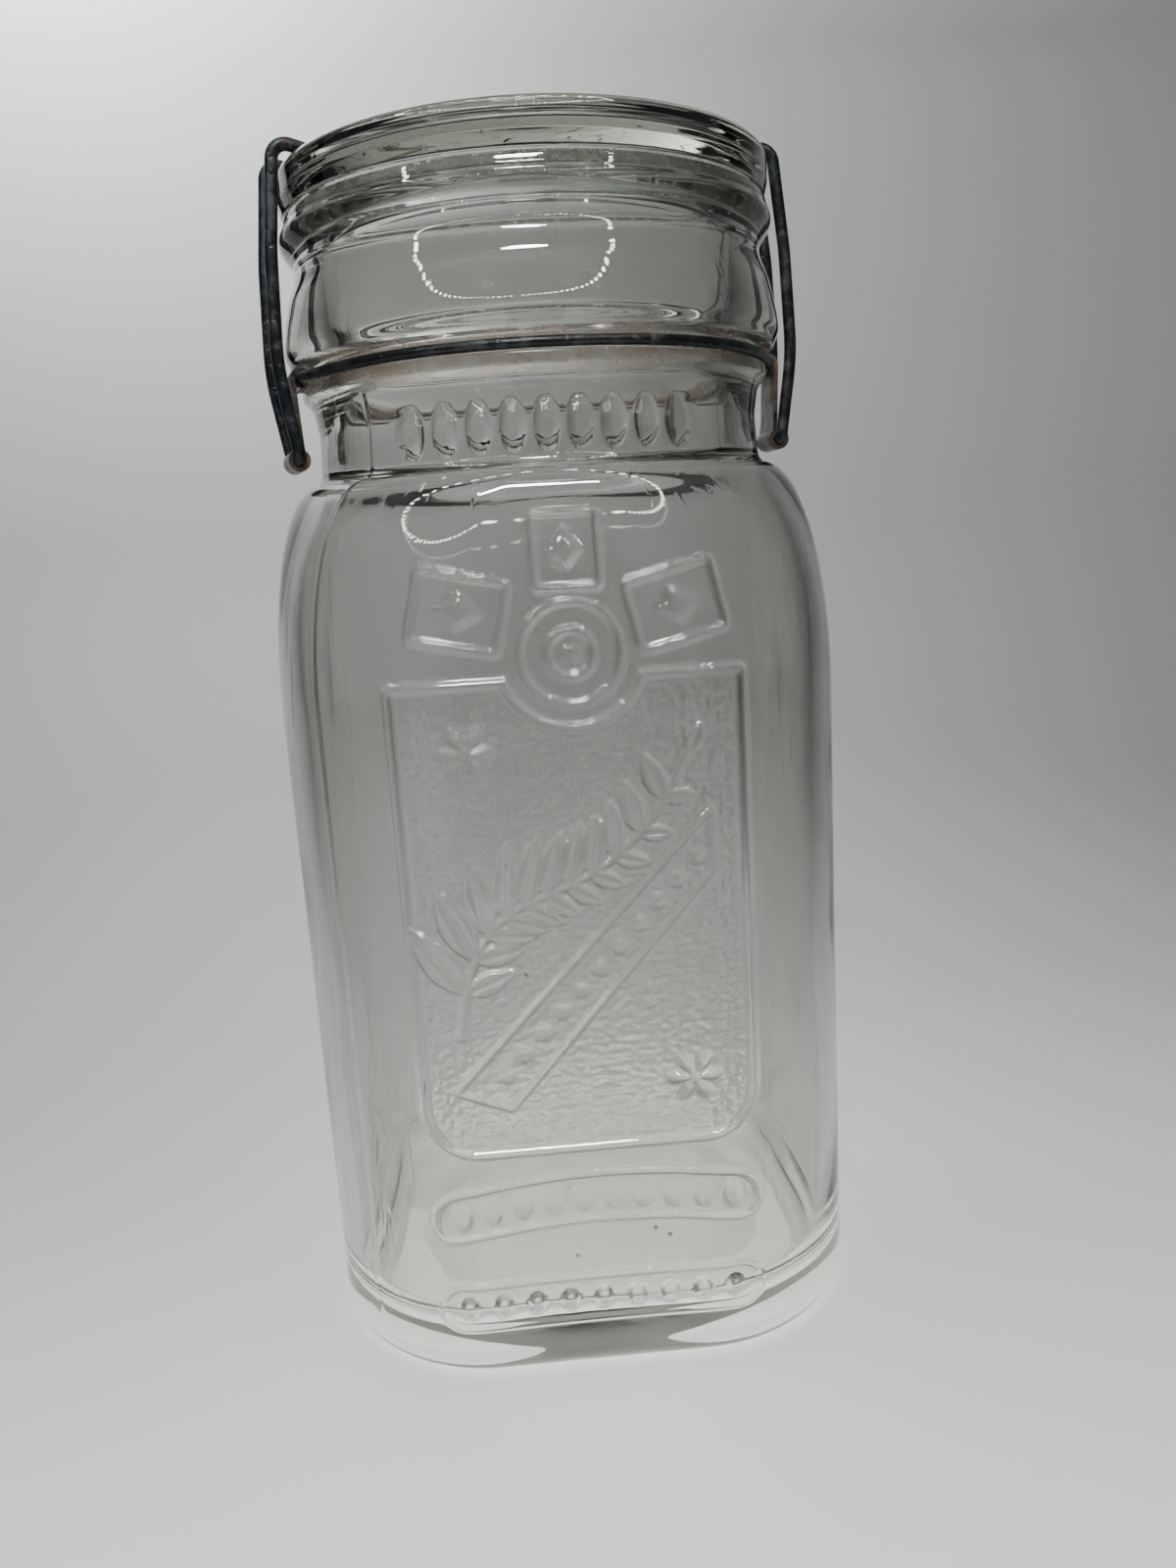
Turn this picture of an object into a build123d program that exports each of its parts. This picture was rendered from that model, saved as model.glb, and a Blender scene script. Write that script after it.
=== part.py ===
from build123d import *
import os
from math import acos, atan2, cos, degrees, hypot, radians, sin

# A square quart preserving jar with a round neck. A glass lid rests on a rubber ring and is held
# down by two wire clamps, each hung by a strap from the wire that runs round the neck.
# Millimetres, +Z up, origin at the centre of the base, the embossed front face towards -Y.

# Glass body: a rounded square below, a circle at the foot of the neck
HALF_WIDTH = 45.0
CORNER_RADIUS = 28.0
WALL = 3.5
FLOOR = 6.5
FLOOR_FILLET = 9.0
HEEL_FILLET = 6.0
DISH_RADIUS = 33.0
DISH_DEPTH = 1.6
SHOULDER_LOW = 108.0
SHOULDER_TOP = 143.5
SHOULDER_STEPS = 14
SHOULDER_END_ANGLE = 86.0

# Neck and finish
NECK_FOOT_RADIUS = 38.4
NECK_FLARE = 0.6
NECK_ROOT_RADIUS = 37.3
NECK_ROOT_HEIGHT = 146.1
NECK_RADIUS = 37.0
NECK_HEIGHT = 152.3
NECK_BORE = 33.2
RIB_FOOT_RADIUS = 38.0
RIB_FOOT_HEIGHT = 156.7
RIB_RADIUS = 39.0
RIB_HEIGHT = 158.3
GROOVE_RADIUS = 38.0
GROOVE_LOW = 159.3
GROOVE_TOP = 161.8
COLLAR_FOOT_RADIUS = 40.0
COLLAR_FOOT_HEIGHT = 162.0
COLLAR_RADIUS = 41.2
COLLAR_HEIGHT = 165.3
COLLAR_UPPER_RADIUS = 40.1
COLLAR_UPPER_HEIGHT = 171.0
WAIST_RADIUS = 38.5
WAIST_HEIGHT = 176.8
BEAD_RADIUS = 40.3
BEAD_HEIGHT = 180.9
FINISH_RADIUS = 39.4
FINISH_TOP = 184.6
LEDGE_RADIUS = 38.4
LEDGE_HEIGHT = 183.0

# Rubber ring, standing a little above the finish
RING_INNER = 33.9
RING_OUTER = 38.2
RING_TOP = 184.95

# Glass lid
LID_RADIUS = 40.0
LID_FOOT_RADIUS = 39.5
LID_LOW = 185.0
LID_TOP = 191.5
LID_EDGE_FILLET = 1.3
LID_FOOT_RISE = 2.2
LID_RIM_INNER = 31.0
LID_DISH_DEPTH = 0.9
LID_DISH_SLOPE = 1.0
PLUG_RADIUS = 32.5
PLUG_LOW = 181.6
PLUG_INNER = 28.6
PLUG_FILLET = 0.8
LID_UNDERSIDE = 186.4

# Neck wire, pulled out straight where each strap turns on it
NECK_WIRE_RADIUS = 0.8
NECK_WIRE_RING = 38.85
NECK_WIRE_HEIGHT = 160.2
PIVOT_RADIUS = 40.0
PIVOT_HALF = 5.2
PIVOT_BEND = 3.0
WIRE_END_GAP = 0.3

# Straps: a sheet link with a rolled knuckle at each end
LEFT_AZIMUTH = 196.0
RIGHT_AZIMUTH = 3.0
STRAP_HALF = 4.2
SHEET = 0.7
RUNNING_CLEARANCE = 0.05
KNUCKLE_RADIUS = 41.4
KNUCKLE_HEIGHT = 147.7
ROLL_SLIT = 0.3
UPPER_SLIT_SHIFT = -0.1
LOWER_SLIT_SHIFT = 0.4

# Clamp wires: two bowed legs, feet turned into the lower knuckle, a crown hooked over the lid
CLAMP_WIRE_RADIUS = 1.0
FOOT_END = 0.6
LEG_OFFSET = 5.6
FOOT_BEND = 1.4
BOW = (43.45, 161.5)
UPPER_LEG = (42.6, 178.0)
CROWN_CORNER = (40.75, 194.1)
CROWN_BEND = 2.3
HOOK_RADIUS = 35.6
HOOK_TIP = 33.4
HOOK_TIP_HALF = 3.0
HOOK_CLEARANCE = 0.2
LEG_BEND = 40.0

os.makedirs("parts", exist_ok=True)


def shoulder_levels(inset, neck_radius):
    """Height, half width and corner radius of the level sections up the shoulder."""
    levels = []
    for step in range(SHOULDER_STEPS + 1):
        angle = radians(SHOULDER_END_ANGLE) * step / SHOULDER_STEPS
        square = cos(angle)
        height = SHOULDER_LOW + (SHOULDER_TOP - SHOULDER_LOW) * sin(angle)
        half_width = neck_radius + (HALF_WIDTH - inset - neck_radius) * square
        corner = neck_radius + (CORNER_RADIUS - inset - neck_radius) * square
        levels.append((height, half_width, corner))
    return levels


def radial_plane(azimuth):
    """A vertical plane through the jar's axis: x outward, y up."""
    turn = radians(azimuth)
    return Plane(origin=(0, 0, 0), x_dir=(cos(turn), sin(turn), 0), z_dir=(sin(turn), -cos(turn), 0))


def clamp_frame(azimuth):
    """A frame on the jar's axis: x outward, y round the neck, z up."""
    turn = radians(azimuth)
    return Plane(origin=(0, 0, 0), x_dir=(cos(turn), sin(turn), 0), z_dir=(0, 0, 1))


def turned(point, azimuth):
    """A point given outward and round the neck, as x and y."""
    turn = radians(azimuth)
    out, aside = point
    return (out * cos(turn) - aside * sin(turn), out * sin(turn) + aside * cos(turn))


# The space inside the body, up to the foot of the neck
with BuildPart() as cavity:
    with BuildSketch(Plane.XY.offset(FLOOR)):
        RectangleRounded(2 * (HALF_WIDTH - WALL), 2 * (HALF_WIDTH - WALL), CORNER_RADIUS - WALL)
    extrude(amount=SHOULDER_LOW - FLOOR)
    fillet(cavity.faces().sort_by(Axis.Z)[0].edges(), FLOOR_FILLET)
    for level, half_width, corner in shoulder_levels(WALL, NECK_BORE):
        with BuildSketch(Plane.XY.offset(level)):
            RectangleRounded(2 * half_width, 2 * half_width, corner)
    loft(ruled=True)

with BuildPart() as glass_jar:
    with BuildSketch():
        RectangleRounded(2 * HALF_WIDTH, 2 * HALF_WIDTH, CORNER_RADIUS)
    extrude(amount=SHOULDER_LOW)
    fillet(glass_jar.faces().sort_by(Axis.Z)[0].edges(), HEEL_FILLET)
    for level, half_width, corner in shoulder_levels(0, NECK_FOOT_RADIUS):
        with BuildSketch(Plane.XY.offset(level)):
            RectangleRounded(2 * half_width, 2 * half_width, corner)
    loft(ruled=True)
    # The neck and finish, with the ledge that the rubber ring sits on
    with BuildSketch(Plane.XZ):
        with BuildLine():
            neck = Spline(
                (NECK_FOOT_RADIUS + NECK_FLARE, SHOULDER_TOP - NECK_FLARE),
                (NECK_ROOT_RADIUS, NECK_ROOT_HEIGHT),
                (NECK_RADIUS, NECK_HEIGHT),
                (RIB_FOOT_RADIUS, RIB_FOOT_HEIGHT),
            )
            rib = Spline(neck @ 1, (RIB_RADIUS, RIB_HEIGHT), (GROOVE_RADIUS, GROOVE_LOW))
            groove = Line(rib @ 1, (GROOVE_RADIUS, GROOVE_TOP))
            under_collar = Line(groove @ 1, (COLLAR_FOOT_RADIUS, COLLAR_FOOT_HEIGHT))
            collar = Spline(
                under_collar @ 1,
                (COLLAR_RADIUS, COLLAR_HEIGHT),
                (COLLAR_UPPER_RADIUS, COLLAR_UPPER_HEIGHT),
                (WAIST_RADIUS, WAIST_HEIGHT),
            )
            bead = Spline(collar @ 1, (BEAD_RADIUS, BEAD_HEIGHT), (FINISH_RADIUS, FINISH_TOP))
            lip = Line(bead @ 1, (LEDGE_RADIUS, FINISH_TOP))
            ledge_wall = Line(lip @ 1, (LEDGE_RADIUS, LEDGE_HEIGHT))
            ledge = Line(ledge_wall @ 1, (NECK_BORE, LEDGE_HEIGHT))
            bore = Line(ledge @ 1, (NECK_BORE, SHOULDER_TOP - NECK_FLARE))
            Line(bore @ 1, neck @ 0)
        make_face()
    revolve(axis=Axis.Z)
    add(cavity.part, mode=Mode.SUBTRACT)
    with BuildSketch(Plane.XY.offset(FLOOR)):
        Circle(NECK_BORE)
    extrude(amount=LEDGE_HEIGHT - FLOOR, mode=Mode.SUBTRACT)
    # A shallow dish under the base leaves a flat band to stand on
    dish_sphere = (DISH_RADIUS**2 + DISH_DEPTH**2) / (2 * DISH_DEPTH)
    with Locations((0, 0, DISH_DEPTH - dish_sphere)):
        Sphere(dish_sphere, mode=Mode.SUBTRACT)
glass_jar.part.label = "glass_jar"
export_step(glass_jar.part, "parts/glass_jar.step")

with BuildPart() as seal_ring:
    with BuildSketch(Plane.XY.offset(LEDGE_HEIGHT)):
        Circle(RING_OUTER)
        Circle(RING_INNER, mode=Mode.SUBTRACT)
    extrude(amount=RING_TOP - LEDGE_HEIGHT)
seal_ring.part.label = "seal_ring"
export_step(seal_ring.part, "parts/seal_ring.step")

with BuildPart() as glass_lid:
    with BuildSketch(Plane.XZ):
        with BuildLine():
            Polyline(
                (0, LID_UNDERSIDE),
                (PLUG_INNER, LID_UNDERSIDE),
                (PLUG_INNER, PLUG_LOW),
                (PLUG_RADIUS, PLUG_LOW),
                (PLUG_RADIUS, LID_LOW),
                (LID_FOOT_RADIUS, LID_LOW),
                (LID_RADIUS, LID_LOW + LID_FOOT_RISE),
                (LID_RADIUS, LID_TOP),
                (LID_RIM_INNER, LID_TOP),
                (LID_RIM_INNER - LID_DISH_SLOPE, LID_TOP - LID_DISH_DEPTH),
                (0, LID_TOP - LID_DISH_DEPTH),
                close=True,
            )
        face = make_face()
        fillet(face.vertices().group_by(Axis.Y)[-1].sort_by(Axis.X)[-1], LID_EDGE_FILLET)
    revolve(axis=Axis.Z)
    fillet(glass_lid.edges().group_by(Axis.Z)[0], PLUG_FILLET)
glass_lid.part.label = "glass_lid"
export_step(glass_lid.part, "parts/glass_lid.step")


def pivot_bump(azimuth):
    """Where the neck wire leaves the groove, its two bends, and where it comes back."""
    bend_distance = hypot(PIVOT_RADIUS, PIVOT_HALF)
    leave = atan2(PIVOT_HALF, PIVOT_RADIUS) + acos(NECK_WIRE_RING / bend_distance)
    on_ring = (NECK_WIRE_RING * cos(leave), NECK_WIRE_RING * sin(leave))
    before = [(on_ring[0], -on_ring[1]), (PIVOT_RADIUS, -PIVOT_HALF)]
    after = [(PIVOT_RADIUS, PIVOT_HALF), on_ring]
    return [turned(point, azimuth) for point in before + after], degrees(leave)


left_bump, leave_angle = pivot_bump(LEFT_AZIMUTH)
right_bump, leave_angle = pivot_bump(RIGHT_AZIMUTH)
with BuildPart() as neck_wire:
    with BuildLine(Plane.XY.offset(NECK_WIRE_HEIGHT)) as neck_path:
        first_end = turned((PIVOT_RADIUS, WIRE_END_GAP / 2), RIGHT_AZIMUTH)
        last_end = turned((PIVOT_RADIUS, -WIRE_END_GAP / 2), RIGHT_AZIMUTH)
        FilletPolyline(first_end, right_bump[2], right_bump[3], radius=PIVOT_BEND)
        CenterArc(
            (0, 0),
            NECK_WIRE_RING,
            RIGHT_AZIMUTH + leave_angle,
            LEFT_AZIMUTH - RIGHT_AZIMUTH - 2 * leave_angle,
        )
        FilletPolyline(*left_bump, radius=PIVOT_BEND)
        CenterArc(
            (0, 0),
            NECK_WIRE_RING,
            LEFT_AZIMUTH + leave_angle,
            360 + RIGHT_AZIMUTH - LEFT_AZIMUTH - 2 * leave_angle,
        )
        FilletPolyline(right_bump[0], right_bump[1], last_end, radius=PIVOT_BEND)
    neck_line = neck_path.wires()[0]
    with BuildSketch(Plane(origin=neck_line @ 0, z_dir=neck_line % 0)):
        Circle(NECK_WIRE_RADIUS)
    sweep(path=neck_line)
neck_wire.part.label = "neck_wire"
export_step(neck_wire.part, "parts/neck_wire.step")


def make_strap(azimuth):
    """A link plate between a knuckle on the neck wire and a knuckle on the clamp's feet."""
    top = (PIVOT_RADIUS, NECK_WIRE_HEIGHT)
    bottom = (KNUCKLE_RADIUS, KNUCKLE_HEIGHT)
    top_bore = NECK_WIRE_RADIUS + RUNNING_CLEARANCE
    bottom_bore = CLAMP_WIRE_RADIUS + RUNNING_CLEARANCE
    plate_top = PIVOT_RADIUS + top_bore
    plate_bottom = KNUCKLE_RADIUS - bottom_bore
    with BuildPart() as strap:
        with BuildSketch(radial_plane(azimuth)):
            with BuildLine():
                Polyline(
                    (plate_top, NECK_WIRE_HEIGHT),
                    (plate_top + SHEET, NECK_WIRE_HEIGHT),
                    (plate_bottom + SHEET, KNUCKLE_HEIGHT),
                    (plate_bottom, KNUCKLE_HEIGHT),
                    close=True,
                )
            make_face()
            with Locations(top):
                Circle(top_bore + SHEET)
            with Locations(bottom):
                Circle(bottom_bore + SHEET)
            with Locations(top):
                Circle(top_bore, mode=Mode.SUBTRACT)
            with Locations(bottom):
                Circle(bottom_bore, mode=Mode.SUBTRACT)
            # The end of the sheet stops short of the plate, which leaves a slit in each roll
            with Locations((PIVOT_RADIUS + UPPER_SLIT_SHIFT, NECK_WIRE_HEIGHT - top_bore - SHEET / 2)):
                Rectangle(ROLL_SLIT, 2 * SHEET, mode=Mode.SUBTRACT)
            with Locations((KNUCKLE_RADIUS + LOWER_SLIT_SHIFT, KNUCKLE_HEIGHT + bottom_bore + SHEET / 2)):
                Rectangle(ROLL_SLIT, 2 * SHEET, mode=Mode.SUBTRACT)
        extrude(amount=STRAP_HALF, both=True)
    return strap


def make_clamp(azimuth):
    """One bent wire: foot, leg, crown and hook, then the same the other way."""
    hook_height = LID_TOP + CLAMP_WIRE_RADIUS + HOOK_CLEARANCE
    one_side = [
        (KNUCKLE_RADIUS, FOOT_END, KNUCKLE_HEIGHT),
        (KNUCKLE_RADIUS, LEG_OFFSET, KNUCKLE_HEIGHT),
        (BOW[0], LEG_OFFSET, BOW[1]),
        (UPPER_LEG[0], LEG_OFFSET, UPPER_LEG[1]),
        (CROWN_CORNER[0], LEG_OFFSET, CROWN_CORNER[1]),
        (HOOK_RADIUS, LEG_OFFSET, hook_height),
        (HOOK_TIP, HOOK_TIP_HALF, hook_height),
    ]
    other_side = [(out, -aside, height) for out, aside, height in reversed(one_side)]
    bends = [FOOT_BEND, LEG_BEND, LEG_BEND, CROWN_BEND, CLAMP_WIRE_RADIUS, CLAMP_WIRE_RADIUS]
    with BuildPart() as clamp:
        with BuildLine(clamp_frame(azimuth)) as path:
            FilletPolyline(*one_side, *other_side, radius=bends + bends[::-1])
        line = path.wires()[0]
        with BuildSketch(Plane(origin=line @ 0, z_dir=line % 0)):
            Circle(CLAMP_WIRE_RADIUS)
        sweep(path=line)
    return clamp


for side, azimuth in (("left", LEFT_AZIMUTH), ("right", RIGHT_AZIMUTH)):
    strap = make_strap(azimuth)
    strap.part.label = f"{side}_strap"
    export_step(strap.part, f"parts/{side}_strap.step")
    clamp = make_clamp(azimuth)
    clamp.part.label = f"{side}_clamp"
    export_step(clamp.part, f"parts/{side}_clamp.step")
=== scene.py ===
import math
import random

import bmesh
import bpy
import numpy as np
from mathutils import Matrix, Vector


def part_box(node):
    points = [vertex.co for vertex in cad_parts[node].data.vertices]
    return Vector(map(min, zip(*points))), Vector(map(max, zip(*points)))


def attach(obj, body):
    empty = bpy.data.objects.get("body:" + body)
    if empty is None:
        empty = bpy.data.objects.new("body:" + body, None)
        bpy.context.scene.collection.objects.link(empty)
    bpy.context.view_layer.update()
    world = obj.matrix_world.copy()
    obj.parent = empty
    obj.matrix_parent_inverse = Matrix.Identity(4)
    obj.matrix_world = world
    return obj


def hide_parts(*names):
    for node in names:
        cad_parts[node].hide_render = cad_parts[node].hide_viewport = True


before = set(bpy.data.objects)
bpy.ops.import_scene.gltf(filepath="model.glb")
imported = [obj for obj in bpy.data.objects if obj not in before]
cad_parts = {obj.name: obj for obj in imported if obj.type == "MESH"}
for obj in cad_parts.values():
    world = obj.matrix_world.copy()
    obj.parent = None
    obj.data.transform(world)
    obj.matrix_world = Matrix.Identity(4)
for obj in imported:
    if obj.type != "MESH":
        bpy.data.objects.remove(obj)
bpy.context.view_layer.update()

MM = 0.001


def corners_in_mm(node):
    """The lowest and highest corners of a CAD node, in millimetres."""
    return [[round(value / MM, 2) for value in corner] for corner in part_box(node)]


JAR_HIGH = corners_in_mm("glass_jar")[1]
LID_LOW, LID_HIGH = corners_in_mm("glass_lid")
RING_LOW = corners_in_mm("seal_ring")[0]

# Camera: where it stands and how it is turned, against a jar that faces -Y
CAMERA_DISTANCE = 0.2117
CAMERA_HEIGHT = 0.1344
CAMERA_DOWN = math.radians(12.23)
CAMERA_ASIDE = math.radians(1.31)
CAMERA_ROLL = math.radians(-3.47)
JAR_TURN = math.radians(1.89)
LENS_MM = 27.0
SENSOR_MM = 36.0

# The pale room: how bright it shows in the glass, and how much of it lights the backdrop
ROOM_SEEN = 0.22
ROOM_FELT = 0.025

# The round lamp, in metres
LAMP_CENTRE = (-0.03, -0.2, 0.3)
LAMP_RADIUS = 0.15
LAMP_POINTS = 64
LAMP_POINT_SIZE = 0.0042
LAMP_STRENGTH = 70.0
LAMP_COLOUR = (1.0, 0.98, 0.93)

# Jar body, in millimetres
HALF_WIDTH = JAR_HIGH[0]
FINISH_TOP = JAR_HIGH[2]
LEDGE = RING_LOW[2]
CORNER_RADIUS = 28.0
WALL = 3.5
FLOOR = 6.5
FLOOR_FILLET = 9.0
FLOOR_RISE = 2.2
HEEL_FILLET = 6.0
DISH_RADIUS = 33.0
DISH_DEPTH = 1.6
SHOULDER_LOW = 108.0
SHOULDER_TOP = 143.5
SHOULDER_END = math.radians(86.0)
NECK_FOOT = 38.4
NECK_BORE = 33.2
NECK_RIB_FOOT = 156.0
SEAM_ANGLES = (math.radians(-135.0), math.radians(45.0))
SEAM_HEIGHT = 0.13
SEAM_WIDTH = 0.45

# Lid, in millimetres
LID_RADIUS = LID_HIGH[0]
LID_TOP = LID_HIGH[2]
LID_FOOT = LID_LOW[2]
LID_DISH = 190.75
LID_UNDER = 186.4

# Mesh spacing, in millimetres: fine over the width of the raised front, coarse elsewhere
FINE_STEP = 0.3
COARSE_STEP = 1.5
FRONT_HALF = 29.0

# Seed bubbles: their radii and how many there are
SEED_SIZE = (0.18, 0.42)
WALL_SEEDS = 12
LID_SEEDS = 16

# Glass colours, and the heights in millimetres between which stain gathers round the neck wire. The clear
# glass's grey is partly its own tint and partly painted shade, darkened to stand in for the jar's shadow on
# the backdrop seen through it
GLASS_TINT_AND_SHADE = (0.69, 0.697, 0.683)
STAIN_COLOUR = (0.36, 0.24, 0.14)
STAIN_LOW = 156.8
STAIN_HIGH = 163.2
GLASS_DEPTH_COLOUR = (0.78, 0.8, 0.72)
GLASS_DEPTH_DENSITY = 26.0

# Raised decoration on the front, in millimetres across and up
RIDGE_WIDTH = 0.95
RIDGE_HEIGHT = 0.7
ART_HEIGHT = 0.95
PANEL_HALF = 25.6
PANEL_TOP = 113.7
PANEL_BOTTOM = 40.8
PANEL_ROUND = 8.0
RING_CENTRE = (1.0, 117.3)
RING_RADII = (7.3, 3.3)
NOTCH_RADIUS = 10.6
ROSETTE_SPOTS = ((-15.0, 103.9), (16.0, 51.3))
RIBBON_CORNERS = ((-20.5, 51.6), (-12.2, 48.2), (20.3, 84.2), (20.3, 93.4))
SPRIG_CURVE = ((-19.0, 60.5), (-15.0, 93.0), (2.0, 71.0), (17.0, 102.0))
LEAF_LENGTH = 14.0
LEAF_SPREAD = math.radians(52)
PILL_HALF = 25.7
NECK_OVAL_REACH = 19.5
NECK_OVAL_LEVEL = 149.3
# Centre, half size and turn in degrees of each tablet
TABLETS = (
    ((-14.6, 124.0), (6.4, 5.0), -13.0),
    ((1.2, 131.6), (4.6, 5.2), 0.0),
    ((16.4, 123.2), (6.4, 5.0), 13.0),
)


def smoothstep(low, high, value):
    """Rises smoothly from 0 at low to 1 at high."""
    t = np.clip((value - low) / (high - low), 0.0, 1.0)
    return t * t * (3 - 2 * t)


# ---------------------------------------------------------------- camera, stage and light


def make_camera():
    """A camera in front of the jar, tilted down, a little aside and rolled."""
    level, drop = math.cos(CAMERA_DOWN), math.sin(CAMERA_DOWN)
    right = Vector((math.cos(CAMERA_ASIDE), -math.sin(CAMERA_ASIDE), 0.0))
    forward = Vector((math.sin(CAMERA_ASIDE) * level, math.cos(CAMERA_ASIDE) * level, -drop))
    up = right.cross(forward)
    rolled_right = right * math.cos(CAMERA_ROLL) + up * math.sin(CAMERA_ROLL)
    rolled_up = up * math.cos(CAMERA_ROLL) - right * math.sin(CAMERA_ROLL)
    axes = Matrix((rolled_right, rolled_up, -forward)).transposed()
    turn = Matrix.Rotation(-JAR_TURN, 3, "Z")
    place = turn @ Vector((0.0, -CAMERA_DISTANCE, CAMERA_HEIGHT))
    data = bpy.data.cameras.new("camera")
    data.lens = LENS_MM
    data.sensor_width = SENSOR_MM
    data.clip_start = 0.01
    camera = bpy.data.objects.new("camera", data)
    camera.matrix_world = Matrix.Translation(place) @ (turn @ axes).to_4x4()
    bpy.context.scene.collection.objects.link(camera)
    bpy.context.scene.camera = camera


def new_object(name, mesh):
    obj = bpy.data.objects.new(name, mesh)
    bpy.context.scene.collection.objects.link(obj)
    return obj


def make_backdrop():
    """A pale sweep: floor, a quarter round behind the jar, and a wall that is clear from its back."""
    floor_end, bend, wall_top, floor_front, half = 0.11, 0.14, 1.6, -1.6, 1.8
    bend_steps = 24
    line = [(floor_front, 0.0), (floor_front / 3, 0.0), (0.0, 0.0), (floor_end, 0.0)]
    for i in range(1, bend_steps + 1):
        a = math.radians(90.0 * i / bend_steps)
        line.append((floor_end + bend * math.sin(a), bend * (1 - math.cos(a))))
    line.append((floor_end + bend, wall_top))
    verts = [(x, y, z) for y, z in line for x in (-half, half)]
    faces = [(2 * i, 2 * i + 1, 2 * i + 3, 2 * i + 2) for i in range(len(line) - 1)]
    mesh = bpy.data.meshes.new("backdrop")
    mesh.from_pydata(verts, [], faces)
    mesh.polygons.foreach_set("use_smooth", [True] * len(faces))
    mesh.materials.append(backdrop_card())
    new_object("backdrop", mesh)


def backdrop_card():
    """Matt pale card from the front, nothing at all from the back."""
    mat = bpy.data.materials.new("backdrop_card")
    mat.use_nodes = True
    tree = mat.node_tree
    shader = tree.nodes["Principled BSDF"]
    shader.inputs["Base Color"].default_value = (0.66, 0.67, 0.67, 1)
    shader.inputs["Roughness"].default_value = 0.9
    shader.inputs["Specular IOR Level"].default_value = 0.2
    clear = tree.nodes.new("ShaderNodeBsdfTransparent")
    side = tree.nodes.new("ShaderNodeNewGeometry")
    mix = tree.nodes.new("ShaderNodeMixShader")
    tree.links.new(side.outputs["Backfacing"], mix.inputs[0])
    tree.links.new(shader.outputs[0], mix.inputs[1])
    tree.links.new(clear.outputs[0], mix.inputs[2])
    tree.links.new(mix.outputs[0], tree.nodes["Material Output"].inputs["Surface"])
    return mat


def area_light(name, place, target, size, power, spread):
    data = bpy.data.lights.new(name, "AREA")
    data.shape = "ELLIPSE"
    data.size, data.size_y = size
    data.energy = power
    data.spread = math.radians(spread)
    obj = bpy.data.objects.new(name, data)
    obj.location = place
    obj.rotation_euler = (Vector(target) - Vector(place)).to_track_quat("-Z", "Y").to_euler()
    bpy.context.scene.collection.objects.link(obj)


def stage_unseen(obj):
    """Puts a thing on the set that shows only in reflections and through glass."""
    obj.visible_camera = False


def lamp_glow():
    """The bright face of each lamp point."""
    mat = bpy.data.materials.new("lamp_points")
    mat.use_nodes = True
    tree = mat.node_tree
    tree.nodes.remove(tree.nodes["Principled BSDF"])
    glow = tree.nodes.new("ShaderNodeEmission")
    glow.inputs["Color"].default_value = (*LAMP_COLOUR, 1)
    glow.inputs["Strength"].default_value = LAMP_STRENGTH
    tree.links.new(glow.outputs[0], tree.nodes["Material Output"].inputs["Surface"])
    return mat


def make_lamp_ring():
    """The round lamp over the front of the set: a circle of small bright points."""
    verts, faces = [], []
    for i in range(LAMP_POINTS):
        a = 2 * math.pi * i / LAMP_POINTS
        centre = Vector(LAMP_CENTRE) + LAMP_RADIUS * Vector((math.cos(a), math.sin(a), 0.0))
        start = len(verts)
        for dx, dy, dz in ((1, 0, 0), (-1, 0, 0), (0, 1, 0), (0, -1, 0), (0, 0, 1), (0, 0, -1)):
            verts.append(centre + LAMP_POINT_SIZE * Vector((dx, dy, dz)))
        for p, q in ((0, 2), (2, 1), (1, 3), (3, 0)):
            faces += [(start + p, start + q, start + 4), (start + q, start + p, start + 5)]
    mesh = bpy.data.meshes.new("lamp_ring")
    mesh.from_pydata(verts, [], faces)
    mesh.materials.append(lamp_glow())
    stage_unseen(new_object("lamp_ring", mesh))


def make_dark_card():
    """The dark shape that stands where the camera does and shows in the glass."""
    mesh = bpy.data.meshes.new("dark_card")
    half, low, high = 0.05, 0.02, 0.2
    back = -CAMERA_DISTANCE - 0.02
    corners = ((-half, back, low), (half, back, low), (half, back, high), (-half, back, high))
    mesh.from_pydata(corners, [], [(0, 1, 2, 3)])
    mat = bpy.data.materials.new("dark_card")
    mat.use_nodes = True
    mat.node_tree.nodes["Principled BSDF"].inputs["Base Color"].default_value = (0.02, 0.02, 0.02, 1)
    mesh.materials.append(mat)
    stage_unseen(new_object("dark_card", mesh))


def make_lights():
    """A dim pale room, a wash on the wall, a fill over the front, the round lamp and the dark card."""
    world = bpy.data.worlds.new("room")
    bpy.context.scene.world = world
    world.use_nodes = True
    tree = world.node_tree
    background = tree.nodes["Background"]
    background.inputs["Color"].default_value = (0.93, 0.97, 1.0, 1)
    path = tree.nodes.new("ShaderNodeLightPath")
    level = tree.nodes.new("ShaderNodeMapRange")
    level.inputs["To Min"].default_value = ROOM_SEEN
    level.inputs["To Max"].default_value = ROOM_FELT
    tree.links.new(path.outputs["Is Diffuse Ray"], level.inputs["Value"])
    tree.links.new(level.outputs[0], background.inputs["Strength"])
    area_light("wall_wash", place=(-0.17, 0.12, 0.47), target=(-0.13, 0.25, 0.37),
               size=(0.1, 0.1), power=1.1, spread=130)
    area_light("front_fill", place=(-0.02, -0.33, 0.5), target=(-0.02, -0.34, 0.0),
               size=(0.14, 0.03), power=2.4, spread=105)
    make_lamp_ring()
    make_dark_card()


make_camera()
make_backdrop()
make_lights()


# ---------------------------------------------------------------- shapes


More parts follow.
